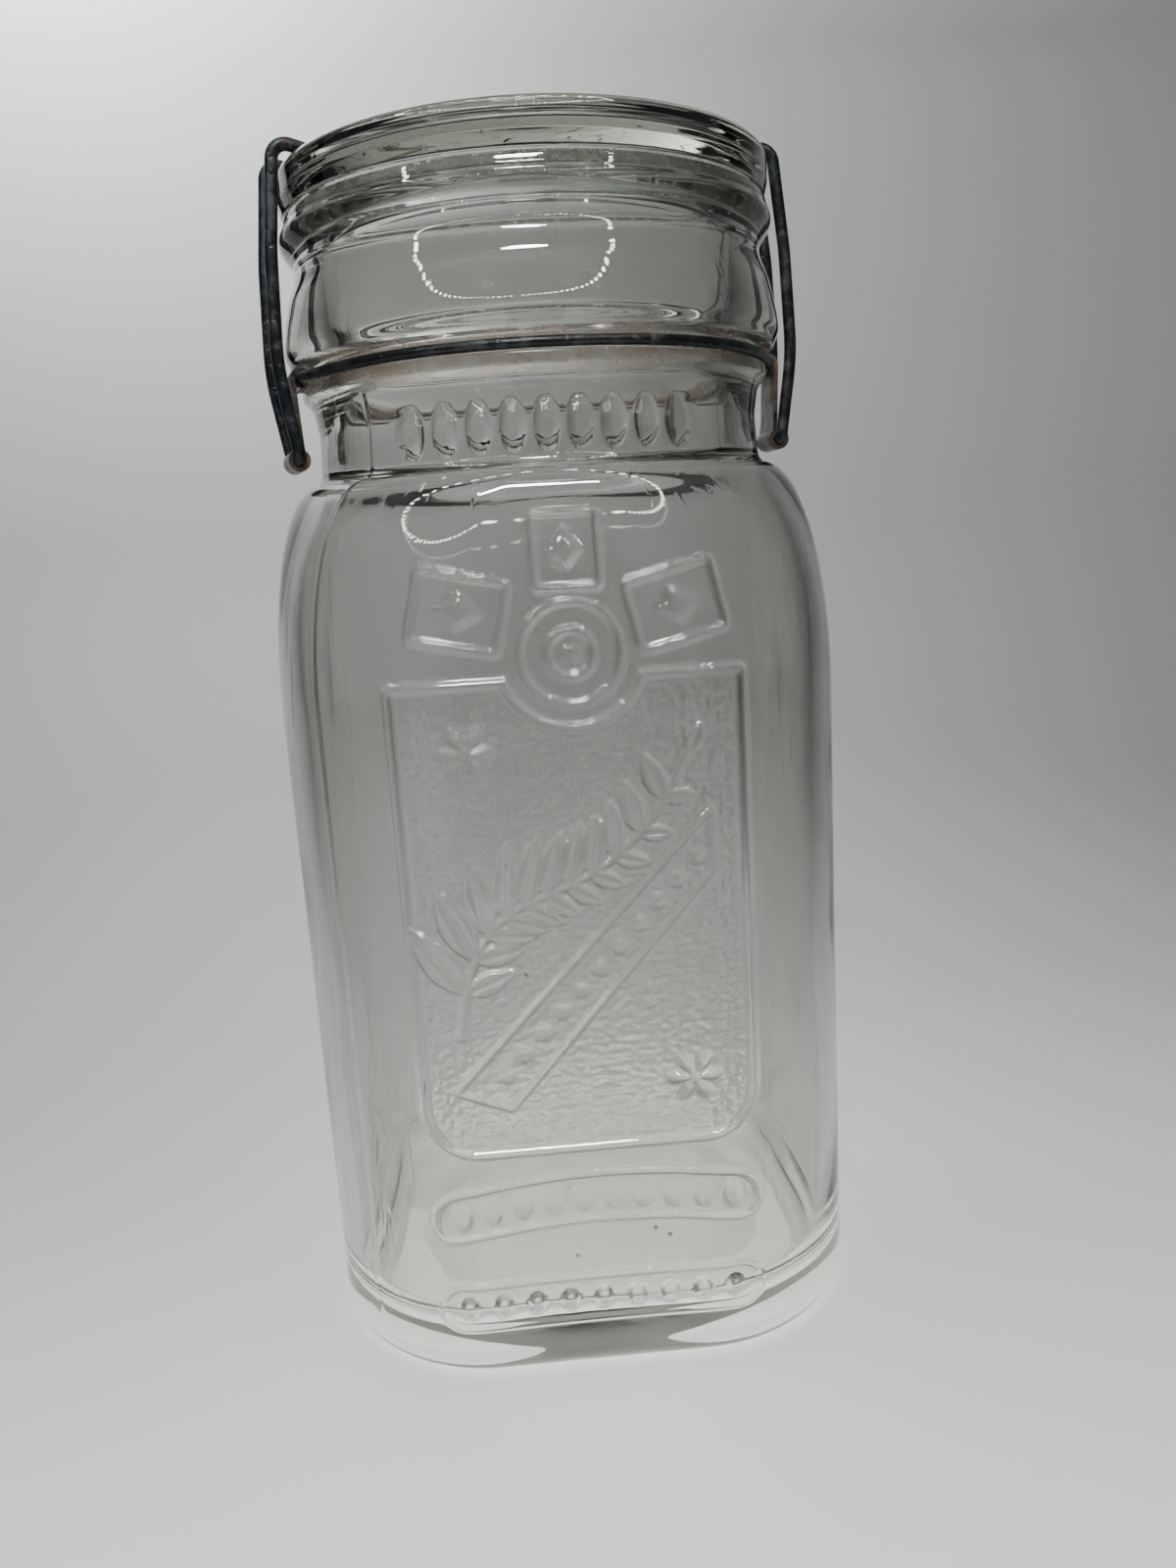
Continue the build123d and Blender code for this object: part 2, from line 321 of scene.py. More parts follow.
def rounded_outline(corners, step):
    """A dense outline through (radius, height, fillet) corners, with an arc at each fillet."""
    points = [np.array(c[:2], float) for c in corners]
    dense = [points[0]]
    for i in range(1, len(points) - 1):
        before, here, after = points[i - 1], points[i], points[i + 1]
        u, v = before - here, after - here
        length_u, length_v = np.linalg.norm(u), np.linalg.norm(v)
        u, v = u / length_u, v / length_v
        half = math.acos(float(np.clip(u @ v, -1, 1))) / 2
        if corners[i][2] <= 0 or abs(half - math.pi / 2) < 1e-3:
            dense.append(here)
            continue
        back = min(corners[i][2] / math.tan(half), 0.48 * length_u, 0.48 * length_v)
        radius = back * math.tan(half)
        centre = here + (u + v) / np.linalg.norm(u + v) * radius / math.sin(half)
        start, end = here + u * back - centre, here + v * back - centre
        sweep = math.atan2(start[0] * end[1] - start[1] * end[0], float(start @ end))
        count = max(3, int(abs(sweep) * radius / step * 1.5), int(abs(sweep) / 0.2))
        for k in range(count + 1):
            a = sweep * k / count
            spun = (start[0] * math.cos(a) - start[1] * math.sin(a),
                    start[0] * math.sin(a) + start[1] * math.cos(a))
            dense.append(centre + np.array(spun))
    dense.append(points[-1])
    filled = [dense[0]]
    for target in dense[1:]:
        gap = np.linalg.norm(target - filled[-1])
        parts = max(1, int(round(gap / step)))
        if gap < 1e-4:
            continue
        origin = filled[-1]
        filled += [origin + (target - origin) * (k + 1) / parts for k in range(parts)]
    return np.array(filled)


def polar_radius(angle, half_width, corner):
    """Distance from the axis to a rounded square of that half width and corner radius."""
    folded = np.abs(((angle + math.pi / 4) % (math.pi / 2)) - math.pi / 4)
    straight = half_width - corner
    flat = half_width / np.cos(folded)
    both = np.cos(folded) + np.sin(folded)
    inside = np.maximum(corner**2 - straight**2 * (1 - np.sin(2 * folded)), 0)
    arc = straight * both + np.sqrt(inside)
    return np.where(half_width * np.tan(folded) <= straight, flat, arc)


def closed_grid(name, rows, first, last):
    """A closed skin over rows of points, ring by ring, with a centre point at each end."""
    count, around = rows.shape[:2]
    verts = np.concatenate([[first], rows.reshape(-1, 3), [last]]) * MM
    r = np.arange(count - 1)[:, None]
    c = np.arange(around)[None, :]
    n = (c + 1) % around
    quads = np.stack([r * around + c, r * around + n, (r + 1) * around + n, (r + 1) * around + c], -1)
    quads = quads.reshape(-1, 4) + 1
    c, n = c[0], n[0]
    top = count * around + 1
    fan_first = np.stack([np.zeros_like(c), n + 1, c + 1], -1)
    base = (count - 1) * around + 1
    fan_last = np.stack([np.full_like(c, top), c + base, n + base], -1)
    loops = np.concatenate([fan_first.ravel(), quads.ravel(), fan_last.ravel()])
    totals = np.concatenate([np.full(around, 3), np.full(len(quads), 4), np.full(around, 3)])
    mesh = bpy.data.meshes.new(name)
    mesh.vertices.add(len(verts))
    mesh.vertices.foreach_set("co", verts.astype(np.float32).ravel())
    mesh.loops.add(len(loops))
    mesh.loops.foreach_set("vertex_index", loops.astype(np.int32))
    mesh.polygons.add(len(totals))
    starts = np.concatenate([[0], np.cumsum(totals)[:-1]])
    mesh.polygons.foreach_set("loop_start", starts.astype(np.int32))
    mesh.polygons.foreach_set("use_smooth", np.ones(len(totals), bool))
    mesh.update(calc_edges=True)
    mesh.validate()
    return new_object(name, mesh)


def ripple(angle, height, waves, strength):
    """The slow unevenness of pressed glass: a few crossed waves."""
    total = 0.0
    for turns, pitch, phase in waves:
        total = total + np.sin(turns * angle + phase) * np.sin(2 * math.pi * height / pitch + 2 * phase)
    return strength * total / len(waves)


# ---------------------------------------------------------------- the jar


# Radius, height and fillet of each corner up the neck, over the lip and down the bore
NECK_FOOT_OUTLINE = (
    (39.0, 143.1, 0),
    (37.4, 144.6, 3.0),
    (36.95, 151.5, 8.0),
    (37.6, 155.9, 3.0),
    (39.1, 157.5, 0.8),
    (39.0, 159.25, 0.6),
    (38.0, 159.5, 0.3),
    (38.0, 161.8, 0.5),
    (40.1, 162.0, 0.7),
)
# The barrel of the collar, the waist above it and the bead round the finish: one smooth curve
COLLAR_CURVE = (
    (40.6, 162.5),
    (41.25, 165.3),
    (40.1, 171.4),
    (38.5, 177.0),
    (40.35, 181.0),
    (39.95, 183.3),
)
LIP_OUTLINE = (
    (39.6, FINISH_TOP, 0.7),
    (38.4, FINISH_TOP, 0.2),
    (38.4, LEDGE, 0.3),
    (NECK_BORE, LEDGE, 0.7),
    (NECK_BORE, 145.2, 0),
)

# Turns, pitch in millimetres and phase of the waves that make the glass uneven
OUTSIDE_WAVES = ((3, 61.0, 0.4), (5, 37.0, 1.9), (7, 83.0, 4.0), (2, 150.0, 5.2))
INSIDE_WAVES = ((2, 97.0, 0.9), (3, 58.0, 2.2), (5, 71.0, 3.7), (9, 43.0, 5.5))
FLOOR_WAVES = ((3, 31.0, 1.1), (4, 47.0, 2.9), (7, 23.0, 4.4))


def smooth_curve(points, parts=12):
    """Extra points on a smooth curve that goes through all of these."""
    p = np.array(points, float)
    p = np.concatenate([[2 * p[0] - p[1]], p, [2 * p[-1] - p[-2]]])
    t = (np.arange(parts) / parts)[:, None]
    curve = []
    for a, b, c, d in zip(p[:-3], p[1:-2], p[2:-1], p[3:]):
        bend = (2 * a - 5 * b + 4 * c - d) * t**2 + (3 * b - a - 3 * c + d) * t**3
        curve += list(b + 0.5 * ((c - a) * t + bend))
    return curve + [p[-2]]


def neck_outline():
    """The neck's outline from the shoulder up the outside, over the lip and down the bore."""
    collar = tuple((r, z, 0) for r, z in smooth_curve(COLLAR_CURVE))
    return rounded_outline(NECK_FOOT_OUTLINE + collar + LIP_OUTLINE, FINE_STEP)


def column_angles():
    """Angles round the axis: close together across the raised front and at the seams, else wider."""
    across = np.arange(-FRONT_HALF, FRONT_HALF + 1e-6, FINE_STEP)
    front = -math.pi / 2 + np.arctan2(across, HALF_WIDTH)
    rest = 2 * math.pi - (front[-1] - front[0])
    count = int(rest * HALF_WIDTH / COARSE_STEP)
    others = front[-1] + rest * np.arange(1, count) / count
    near = np.arange(-4, 5) * FINE_STEP / HALF_WIDTH
    for seam in SEAM_ANGLES:
        seam = seam % (2 * math.pi)
        others = others[np.abs(others - seam) > near[-1] + FINE_STEP / HALF_WIDTH]
        others = np.concatenate([others, seam + near])
    return np.concatenate([front, np.sort(others)])


# ---------------------------------------------------------------- the raised decoration


def line_to(x, z, start, end):
    """Distance to a straight stroke."""
    ax, az = end[0] - start[0], end[1] - start[1]
    t = np.clip(((x - start[0]) * ax + (z - start[1]) * az) / (ax * ax + az * az), 0, 1)
    return np.hypot(x - start[0] - t * ax, z - start[1] - t * az)


def box_edge(x, z, centre, half, turn=0.0, rounding=1.0):
    """Signed distance to a rounded box, negative inside."""
    u = (x - centre[0]) * math.cos(turn) + (z - centre[1]) * math.sin(turn)
    v = (z - centre[1]) * math.cos(turn) - (x - centre[0]) * math.sin(turn)
    qu, qv = np.abs(u) - half[0] + rounding, np.abs(v) - half[1] + rounding
    return np.hypot(np.maximum(qu, 0), np.maximum(qv, 0)) + np.minimum(np.maximum(qu, qv), 0) - rounding


def bead(distance, half_width, height):
    """A rounded ridge along the line where the distance is nought."""
    t = np.clip(np.abs(distance) / half_width, 0, 1)
    return height * (0.5 + 0.5 * np.cos(math.pi * t))


def lozenge(x, z, centre, half, turn, height):
    """A raised four-sided facet."""
    u = (x - centre[0]) * math.cos(turn) + (z - centre[1]) * math.sin(turn)
    v = (z - centre[1]) * math.cos(turn) - (x - centre[0]) * math.sin(turn)
    inside = 1 - np.abs(u) / half[0] - np.abs(v) / half[1]
    return height * smoothstep(0.0, 0.7, inside)


def oval(x, z, centre, half, height):
    """A raised round or oval button."""
    inside = 1 - np.hypot((x - centre[0]) / half[0], (z - centre[1]) / half[1])
    return height * np.sqrt(np.clip(inside * 2.0, 0, 1))


def leaf(x, z, root, turn, length, width, height):
    """A pointed leaf with a vein along its middle."""
    u = ((x - root[0]) * math.cos(turn) + (z - root[1]) * math.sin(turn)) / length
    v = (z - root[1]) * math.cos(turn) - (x - root[0]) * math.sin(turn)
    side = width * np.sin(math.pi * np.clip(u, 0, 1) ** 0.8)
    inside = np.clip(1 - np.abs(v) / np.maximum(side, 1e-3), 0, 1)
    body = height * smoothstep(0.0, 0.35, inside) * ((u > 0) & (u < 1))
    return body * (1 - 0.35 * np.exp(-(v / 0.35) ** 2))


def rosette(x, z, centre, radius, height):
    """A six-petalled flower with a button in its middle."""
    r = np.hypot(x - centre[0], z - centre[1])
    a = np.arctan2(z - centre[1], x - centre[0])
    edge = radius * (0.64 + 0.36 * np.abs(np.cos(3 * a)))
    petals = height * np.clip(2.0 * (1 - r / edge), 0, 1) * (0.35 + 0.65 * np.abs(np.cos(3 * a)))
    return np.maximum(petals, oval(x, z, centre, (1.3, 1.3), height))


def stem_points():
    """The sprig's stem, an easy curve from the lower left of the panel to the upper right."""
    t = np.linspace(0, 1, 25)[:, None]
    a, b, c, d = (np.array(p) for p in SPRIG_CURVE)
    return a * (1 - t) ** 3 + 3 * b * t * (1 - t) ** 2 + 3 * c * t * t * (1 - t) + d * t**3


def sprig(x, z):
    """A curved stem with a long leaf and a short one at each joint, and one at its tip."""
    points = stem_points()
    raised = np.zeros_like(x)
    for start, end in zip(points[:-1], points[1:]):
        raised = np.maximum(raised, bead(line_to(x, z, start, end), 1.2, ART_HEIGHT))
    for i in range(2, len(points) - 1, 2):
        across, up = points[i + 1] - points[i]
        shrink = 1 - 0.5 * i / len(points)
        for side, full_length in ((-1, 0.62 * LEAF_LENGTH), (1, LEAF_LENGTH)):
            length = full_length * shrink
            turn = math.atan2(up, across) + side * LEAF_SPREAD
            width = 0.19 * length + 0.6
            raised = np.maximum(raised, leaf(x, z, points[i], turn, length, width, ART_HEIGHT))
    across, up = points[-1] - points[-2]
    last = leaf(x, z, points[-1], math.atan2(up, across), length=5.0, width=1.6, height=0.85)
    return np.maximum(raised, last)


def ribbon(x, z):
    """A slanting band with an outlined edge and a row of beads along it."""
    a, b, c, d = RIBBON_CORNERS
    raised = np.zeros_like(x)
    for start, end in ((a, b), (b, c), (c, d), (d, a)):
        raised = np.maximum(raised, bead(line_to(x, z, start, end), RIDGE_WIDTH, RIDGE_HEIGHT))
    first, last = (np.array(a) + b) / 2, (np.array(d) + c) / 2
    for t in np.linspace(0.1, 0.93, 11):
        spot = first + (last - first) * t
        raised = np.maximum(raised, oval(x, z, spot, (1.5, 1.5), 0.6))
    return raised


def grain(x, z, cell, rng_seed):
    """Stippling: one small rounded grain in each cell of a jittered grid."""
    rng = np.random.default_rng(rng_seed)
    table = rng.random((64, 64, 3))
    i, j = np.floor(x / cell).astype(int), np.floor(z / cell).astype(int)
    total = np.zeros_like(x)
    for di in (-1, 0, 1):
        for dj in (-1, 0, 1):
            jitter = table[(i + di) % 64, (j + dj) % 64]
            gx = (i + di + 0.15 + 0.7 * jitter[..., 0]) * cell - x
            gz = (j + dj + 0.15 + 0.7 * jitter[..., 1]) * cell - z
            size = cell * (0.45 + 0.3 * jitter[..., 2])
            total = np.maximum(total, np.clip(1 - (gx * gx + gz * gz) / size**2, 0, 1))
    return total


def panel(x, z):
    """The stippled panel with its frame, notched round the ring above it."""
    middle = (PANEL_TOP + PANEL_BOTTOM) / 2
    half = (PANEL_HALF, (PANEL_TOP - PANEL_BOTTOM) / 2)
    rounding = np.where(z < middle, PANEL_ROUND, 0.6)
    edge = box_edge(x, z, (0, middle), half, rounding=rounding)
    notch = NOTCH_RADIUS - np.hypot(x - RING_CENTRE[0], z - RING_CENTRE[1])
    edge = np.maximum(edge, notch)
    frame_line = bead(edge, 1.05, 0.8)
    ground = 1 - smoothstep(-2.2, -0.9, edge)
    coarse, fine = grain(x, z, cell=1.25, rng_seed=3), grain(x, z, cell=0.8, rng_seed=4)
    stipple = ground * (0.22 * coarse + 0.12 * fine)
    art = np.maximum(sprig(x, z), ribbon(x, z))
    for spot in ROSETTE_SPOTS:
        art = np.maximum(art, rosette(x, z, spot, radius=5.0, height=1.2))
    return frame_line + np.where(art > 0.02, art, 0) + stipple * (1 - smoothstep(0.0, 0.15, art))


def crest(x, z):
    """The ring over the panel and the three small tablets round it."""
    r = np.hypot(x - RING_CENTRE[0], z - RING_CENTRE[1])
    outer, inner = (bead(r - radius, RIDGE_WIDTH, RIDGE_HEIGHT) for radius in RING_RADII)
    raised = outer + inner + 0.5 * (1 - smoothstep(0.4, 2.0, r))
    for centre, half, degrees in TABLETS:
        turn = math.radians(degrees)
        edge = box_edge(x, z, centre, half, turn, rounding=0.8)
        raised = raised + bead(edge, RIDGE_WIDTH, RIDGE_HEIGHT)
        raised = raised + lozenge(x, z, centre, (half[0] * 0.72, half[1] * 0.72), turn, height=0.8)
    return raised


def pill(x, z, level, half_height, arch, spots):
    """A long rounded outline, more or less arched, holding a row of upright ovals."""
    bent = z - arch * (1 - (x / PILL_HALF) ** 2)
    edge = box_edge(x, bent, (0, level), (PILL_HALF, half_height), rounding=half_height - 0.05)
    raised = bead(edge, RIDGE_WIDTH, 0.65)
    for spot in np.linspace(-PILL_HALF + 4.4, PILL_HALF - 4.4, spots):
        raised = raised + oval(x, bent, (spot, level), (1.6, half_height * 0.62), 0.7)
    return raised


def decoration(x, z):
    """Height of everything raised on the front, in millimetres."""
    raised = panel(x, z) + crest(x, z)
    raised = raised + pill(x, z, level=29.3, half_height=3.9, arch=3.0, spots=10)
    raised = raised + pill(x, z, level=14.0, half_height=3.8, arch=0.6, spots=9)
    for spot in np.linspace(-NECK_OVAL_REACH, NECK_OVAL_REACH, 9):
        raised = raised + oval(x, z, (spot, NECK_OVAL_LEVEL), half=(1.9, 3.9), height=0.8)
    return raised


def level_rows(angles, levels):
    """Rings of points at (height, half width, corner radius) levels."""
    rings = []
    for height, half_width, corner in levels:
        r = polar_radius(angles, half_width, corner)
        rings.append(np.stack([r * np.cos(angles), r * np.sin(angles), np.full_like(r, height)], -1))
    return np.array(rings)


def outer_levels():
    """Levels of the outside: dished base, flat foot, heel, wall and shoulder."""
    levels = []
    for r in np.linspace(1.5, DISH_RADIUS, 22):
        levels.append((DISH_DEPTH * (1 - (r / DISH_RADIUS) ** 2), r, r))
    flat_width, flat_corner = HALF_WIDTH - HEEL_FILLET, CORNER_RADIUS - HEEL_FILLET
    for t in (0.25, 0.5, 0.75):
        width = DISH_RADIUS + (flat_width - DISH_RADIUS) * t
        levels.append((0.0, width, DISH_RADIUS + (flat_corner - DISH_RADIUS) * t))
    for a in np.linspace(0, math.pi / 2, 25):
        inset = HEEL_FILLET * (1 - math.sin(a))
        levels.append((HEEL_FILLET * (1 - math.cos(a)), HALF_WIDTH - inset, CORNER_RADIUS - inset))
    for height in np.arange(HEEL_FILLET + FINE_STEP, SHOULDER_LOW, FINE_STEP):
        levels.append((height, HALF_WIDTH, CORNER_RADIUS))
    return levels + shoulder_levels(inset=0.0, neck=NECK_FOOT, count=126)


def shoulder_levels(inset, neck, count):
    """Levels up the shoulder, as the rounded square turns into the neck's circle."""
    levels = []
    for a in np.linspace(0, SHOULDER_END, count):
        square = math.cos(a)
        height = SHOULDER_LOW + (SHOULDER_TOP - SHOULDER_LOW) * math.sin(a)
        width = neck + (HALF_WIDTH - inset - neck) * square
        levels.append((height, width, neck + (CORNER_RADIUS - inset - neck) * square))
    return levels


def inner_levels():
    """Levels of the inside, from the neck down to the middle of the floor."""
    levels = shoulder_levels(inset=WALL, neck=NECK_BORE, count=40)[::-1]
    width, corner = HALF_WIDTH - WALL, CORNER_RADIUS - WALL
    low = FLOOR + FLOOR_FILLET
    for height in np.arange(SHOULDER_LOW - COARSE_STEP, low, -COARSE_STEP):
        levels.append((height, width, corner))
    for a in np.linspace(0, math.pi / 2, 16):
        inset = FLOOR_FILLET * (1 - math.cos(a))
        levels.append((low - FLOOR_FILLET * math.sin(a), width - inset, corner - inset))
    floor_width, floor_corner = width - FLOOR_FILLET, corner - FLOOR_FILLET
    for t in np.linspace(0.95, 0.05, 18):
        lift = FLOOR_RISE * (1 - t * t) ** 2
        square = t * (floor_corner + (floor_width - floor_corner) * (1 - t))
        levels.append((FLOOR + lift, floor_width * t, square))
    return levels


def outward(rows):
    """Unit directions pointing out of a skin made of rings."""
    up = np.gradient(rows, axis=0)
    ahead = np.roll(rows, -1, axis=1) - np.roll(rows, 1, axis=1)
    normal = np.cross(ahead, up)
    return normal / np.maximum(np.linalg.norm(normal, axis=2, keepdims=True), 1e-9)


def raise_outside(rows, angles):
    """Adds the decoration, the mould seams and a slow unevenness to the outside."""
    x, y, z = rows[..., 0], rows[..., 1], rows[..., 2]
    height = np.where((y < 0) & (np.abs(x) < FRONT_HALF), decoration(x, z), 0.0)
    wall = smoothstep(HEEL_FILLET, 14.0, z) * (1 - smoothstep(132.0, 141.0, z))
    for seam in SEAM_ANGLES:
        off = np.abs(np.angle(np.exp(1j * (angles - seam)))) * HALF_WIDTH
        height = height + SEAM_HEIGHT * np.exp(-((off / SEAM_WIDTH) ** 2)) * smoothstep(3.0, 7.0, z)
    around = np.broadcast_to(angles, z.shape)
    height = height + wall * ripple(around, z, OUTSIDE_WAVES, 0.06)
    return rows + outward(rows) * height[..., None]


def uneven_inside(rows, angles):
    """The blown inside: its wall is never quite even, least of all near the floor."""
    z = rows[..., 2]
    around = np.broadcast_to(angles, z.shape)
    calm = 1 - smoothstep(134.0, 142.0, z)
    height = calm * ripple(around, z, INSIDE_WAVES, 0.3)
    low = (1 - smoothstep(8.0, 26.0, z)) * smoothstep(3.0, 22.0, np.hypot(rows[..., 0], rows[..., 1]))
    height = height + low * ripple(around, z, FLOOR_WAVES, 0.55)
    return rows + outward(rows) * height[..., None]


def add_seeds(obj, spots, rng):
    """Seed bubbles: small hollows shut inside the glass, so their skins face inwards."""
    shape = bmesh.new()
    shape.from_mesh(obj.data)
    for spot in spots:
        radius = rng.uniform(*SEED_SIZE) * MM
        stretch = Matrix.Diagonal((1.0, 1.0, rng.uniform(0.8, 1.3), 1.0))
        place = Matrix.Translation(Vector(spot) * MM) @ stretch
        made = bmesh.ops.create_icosphere(shape, subdivisions=2, radius=radius, matrix=place)
        faces = {face for vert in made["verts"] for face in vert.link_faces}
        bmesh.ops.reverse_faces(shape, faces=list(faces))
        for face in faces:
            face.smooth = True
    shape.to_mesh(obj.data)
    shape.free()


def wall_seeds(rng):
    """Places in the middle of the front and back walls."""
    middle = HALF_WIDTH - WALL / 2
    spots = []
    for i in range(WALL_SEEDS):
        across = rng.uniform(0.1, 0.9) * (HALF_WIDTH - CORNER_RADIUS) * (1 if i % 2 else -1)
        spots.append((across, middle * (-1 if i % 3 else 1), rng.uniform(20.0, SHOULDER_LOW - 4.0)))
    return spots


def lid_seeds(rng):
    """Places inside the solid rim of the lid."""
    spots = []
    for _ in range(LID_SEEDS):
        a = rng.uniform(0, 2 * math.pi)
        out = rng.uniform(LID_RADIUS - 6.5, LID_RADIUS - 2.2)
        spots.append((out * math.cos(a), out * math.sin(a), rng.uniform(LID_TOP - 4.3, LID_TOP - 1.7)))
    return spots


def make_jar():
    """The jar as one closed skin: base, wall, shoulder and neck outside, then down the inside."""
    angles = column_angles()
    outer = level_rows(angles, outer_levels())
    neck = neck_outline()
    neck_rows = level_rows(angles, [(z, r, r) for r, z in neck])
    inner = level_rows(angles, inner_levels())
    outer_count = len(outer) + int(np.argmax(neck[:, 1] > NECK_RIB_FOOT))
    rows = np.concatenate([outer, neck_rows, inner])
    rows[:outer_count] = raise_outside(rows[:outer_count], angles)
    rows[-len(inner):] = uneven_inside(rows[-len(inner):], angles)
    first = (0.0, 0.0, DISH_DEPTH)
    last = (0.0, 0.0, FLOOR + FLOOR_RISE)
    jar = closed_grid("jar_glass_body", rows, first, last)
    rng = random.Random(11)
    add_seeds(jar, wall_seeds(rng), rng)
    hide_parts("glass_jar")
    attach(jar, "jar")
    return jar


# Radius, height and fillet of each corner from the dished top out, over the rim and the plug, and in
LID_OUTLINE = (
    (1.0, LID_DISH, 0),
    (29.6, 190.6, 1.2),
    (31.0, LID_TOP, 0.8),
    (LID_RADIUS, LID_TOP, 1.3),
    (LID_RADIUS, 187.2, 2.0),
    (39.5, 185.0, 0.45),
    (32.5, 185.0, 0.5),
    (32.4, LID_FOOT, 0.8),
    (28.7, LID_FOOT, 0.9),
    (28.5, LID_UNDER, 1.6),
    (1.0, LID_UNDER, 0),
)


def make_lid():
    """The lid as one closed skin: its outline turned about the axis."""
    angles = np.linspace(0, 2 * math.pi, 360, endpoint=False)
    outline = rounded_outline(LID_OUTLINE, step=0.5)
    rows = level_rows(angles, [(z, r, r) for r, z in outline])[::-1]
    lid = closed_grid("lid_glass_disc", rows, (0, 0, LID_UNDER), (0, 0, LID_DISH))
    rng = random.Random(5)
    add_seeds(lid, lid_seeds(rng), rng)
    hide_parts("glass_lid")
    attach(lid, "lid")
    return lid


# ---------------------------------------------------------------- materials


class Shade:
    """Small helper that wires one procedural material on object coordinates."""

    def __init__(self, name):
        self.material = bpy.data.materials.new(name)
        self.material.use_nodes = True
        self.tree = self.material.node_tree
        self.shader = self.tree.nodes["Principled BSDF"]
        self.place = self.tree.nodes.new("ShaderNodeTexCoord").outputs["Object"]

    def link(self, source, target):
        self.tree.links.new(source, target)

    def stretched(self, factors):
        """Coordinates scaled by a factor along each axis."""
        node = self.tree.nodes.new("ShaderNodeMapping")
        node.inputs["Scale"].default_value = factors
        self.link(self.place, node.inputs["Vector"])
        return node.outputs["Vector"]

    def noise(self, scale, detail=3.0, roughness=0.55, place=None, distortion=0.0):
        node = self.tree.nodes.new("ShaderNodeTexNoise")
        node.inputs["Scale"].default_value = scale
        node.inputs["Detail"].default_value = detail
        node.inputs["Roughness"].default_value = roughness
        node.inputs["Distortion"].default_value = distortion
        self.link(place or self.place, node.inputs["Vector"])
        return node.outputs["Fac"]

    def specks(self, scale, size):
        """Sparse round dots."""
        node = self.tree.nodes.new("ShaderNodeTexVoronoi")
        node.inputs["Scale"].default_value = scale
        self.link(self.place, node.inputs["Vector"])
        return self.ramp(node.outputs["Distance"], size, 0.4 * size, 0.0, 1.0)

    def ramp(self, value, low, high, to_low=0.0, to_high=1.0):
        """A smooth change from to_low, at low, to to_high, at high."""
        node = self.tree.nodes.new("ShaderNodeMapRange")
        node.interpolation_type = "SMOOTHSTEP"
        for key, number in (("From Min", low), ("From Max", high), ("To Min", to_low), ("To Max", to_high)):
            node.inputs[key].default_value = number
        self.link(value, node.inputs["Value"])
        return node.outputs["Result"]

    def band(self, value, start, full, fading, end):
        """Rises from start to full, and falls away again from fading to end."""
        return self.math("MULTIPLY", self.ramp(value, start, full), self.ramp(value, end, fading))

    def math(self, kind, first, second=None):
        node = self.tree.nodes.new("ShaderNodeMath")
        node.operation = kind
        for slot, value in zip(node.inputs, (first, second)):
            if isinstance(value, (int, float)):
                slot.default_value = value
            elif value is not None:
                self.link(value, slot)
        return node.outputs[0]

    def blend(self, amount, first, second):
        node = self.tree.nodes.new("ShaderNodeMix")
        node.data_type = "RGBA"
        self.link(amount, node.inputs["Factor"])
        for slot, value in ((node.inputs["A"], first), (node.inputs["B"], second)):
            slot = next(s for s in node.inputs if s.name == slot.name and s.type == "RGBA")
            if isinstance(value, tuple):
                slot.default_value = (*value, 1)
            else:
                self.link(value, slot)
        return next(o for o in node.outputs if o.type == "RGBA")

    def axis(self, letter):
        node = self.tree.nodes.new("ShaderNodeSeparateXYZ")
        self.link(self.place, node.inputs[0])
        return node.outputs[letter]

    def bump(self, *layers):
        """Raises the surface by (height, distance in metres) layers, one over another."""
        last = None
        for height, distance in layers:
            node = self.tree.nodes.new("ShaderNodeBump")
            node.inputs["Distance"].default_value = distance
            self.link(height, node.inputs["Height"])
            if last is not None:
                self.link(last, node.inputs["Normal"])
            last = node.outputs["Normal"]
        self.link(last, self.shader.inputs["Normal"])

    def set(self, **numbers):
        """Sets numbers that are the same all over on the shader's own sockets."""
        for key, value in numbers.items():
            self.shader.inputs[key.replace("_", " ")].default_value = value

    def see_through_shadow(self):
        """Lets light pass straight through to what lies behind the glass."""
        clear = self.tree.nodes.new("ShaderNodeBsdfTransparent")
        path = self.tree.nodes.new("ShaderNodeLightPath")
        mix = self.tree.nodes.new("ShaderNodeMixShader")
        self.link(path.outputs["Is Shadow Ray"], mix.inputs[0])
        self.link(self.shader.outputs[0], mix.inputs[1])
        self.link(clear.outputs[0], mix.inputs[2])
        self.link(mix.outputs[0], self.tree.nodes["Material Output"].inputs["Surface"])

    def tinted_depth(self, colour, density):
        """Colours the glass by its thickness."""
        node = self.tree.nodes.new("ShaderNodeVolumeAbsorption")
        node.inputs["Color"].default_value = (*colour, 1)
        node.inputs["Density"].default_value = density
        self.link(node.outputs[0], self.tree.nodes["Material Output"].inputs["Volume"])


